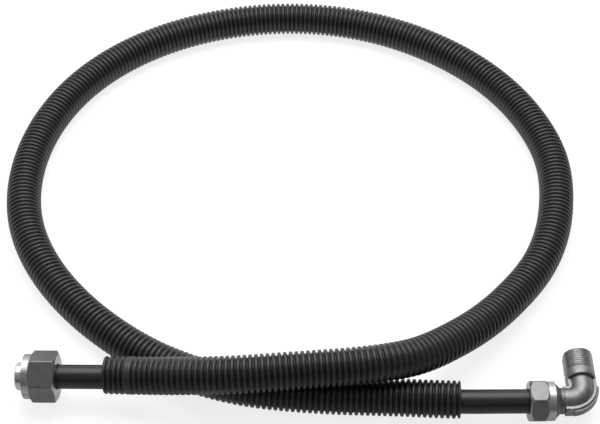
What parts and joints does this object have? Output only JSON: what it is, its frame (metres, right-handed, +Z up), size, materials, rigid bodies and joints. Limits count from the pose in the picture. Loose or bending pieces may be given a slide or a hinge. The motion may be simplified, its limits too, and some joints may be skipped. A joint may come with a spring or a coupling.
{
  "type": "drain connection hose",
  "caption": "Smooth plastic pipe in a corrugated sleeve, laid in a loop, with a loose union nut over a cone insert at one end and an elbow with a male thread at the other",
  "frame": {"origin": "on the floor, under the middle of the box round the two end fittings, where the hose's strands cross", "axes": "+Z up from the floor the hose lies on, +X from the union nut towards the elbow, +Y from the fittings to the far side of the loop"},
  "size_m": [0.4162, 0.4239, 0.0514],
  "materials": {
    "pipe": "smooth extruded black plastic with a soft sheen",
    "sleeve": "corrugated black plastic, half matte",
    "nut": "nickel-plated, forged flats with turned collar and chamfers",
    "insert": "nickel-plated and finely turned",
    "elbow": "nickel-plated over a fine cast grain, thread machined",
    "seal": "black sealing rubber"
  },
  "bodies": {
    "hose": {"inner_pipe": "pipe", "corrugated_sleeve": "sleeve", "cone_insert": "insert", "cone_o_ring": "seal", "insert_o_ring_front": "seal", "insert_o_ring_rear": "seal", "compression_nut": "nut", "elbow_body": "elbow", "spigot_o_ring_front": "seal", "spigot_o_ring_rear": "seal", "elbow_clamping_ring": "insert"},
    "clamping_ring": {"union_clamping_ring": "insert"},
    "loose_nut": {"union_nut": "nut"}
  },
  "joints": [
    {"name": "nut_slide", "type": "slide", "parent": "hose", "child": "clamping_ring", "axis": [-0.9976, 0.0505, -0.0471], "range_m": [-0.026, 0]},
    {"name": "nut_spin", "type": "hinge", "parent": "clamping_ring", "child": "loose_nut", "pos_m": [-0.1786, 0.0036, 0.0212], "axis": [-0.9976, 0.0505, -0.0471], "continuous": true}
  ]
}
